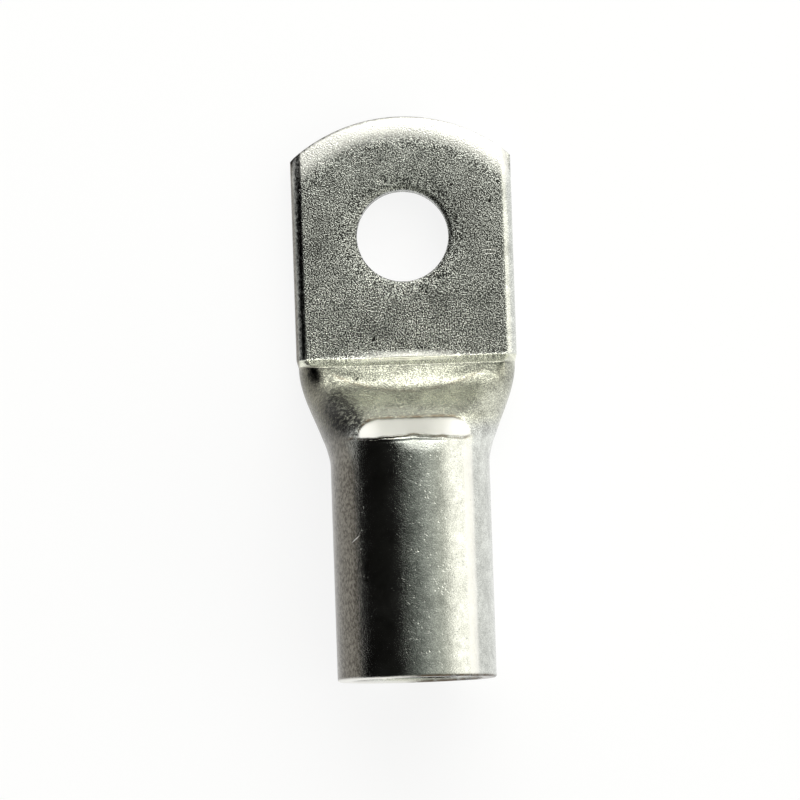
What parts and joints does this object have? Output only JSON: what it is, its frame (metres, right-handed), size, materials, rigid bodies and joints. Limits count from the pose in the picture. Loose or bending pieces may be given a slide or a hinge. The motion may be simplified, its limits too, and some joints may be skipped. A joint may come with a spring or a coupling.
{
  "type": "cable lug",
  "caption": "Tinned copper tube cable lug: a round wire barrel pressed flat into a palm with a stud hole.",
  "frame": {"origin": "middle of the stud hole, on the palm's underside that meets the busbar", "axes": "+X across the palm, +Y along the lug from the wire barrel to the palm's tip, +Z out of the palm's top face"},
  "size_m": [0.0202, 0.0519, 0.0145],
  "materials": {
    "tinned_copper": "tin plating on copper, satin and finely speckled, with a few short scratches"
  },
  "bodies": {
    "root": {"cable_lug": "tinned_copper"}
  },
  "joints": []
}
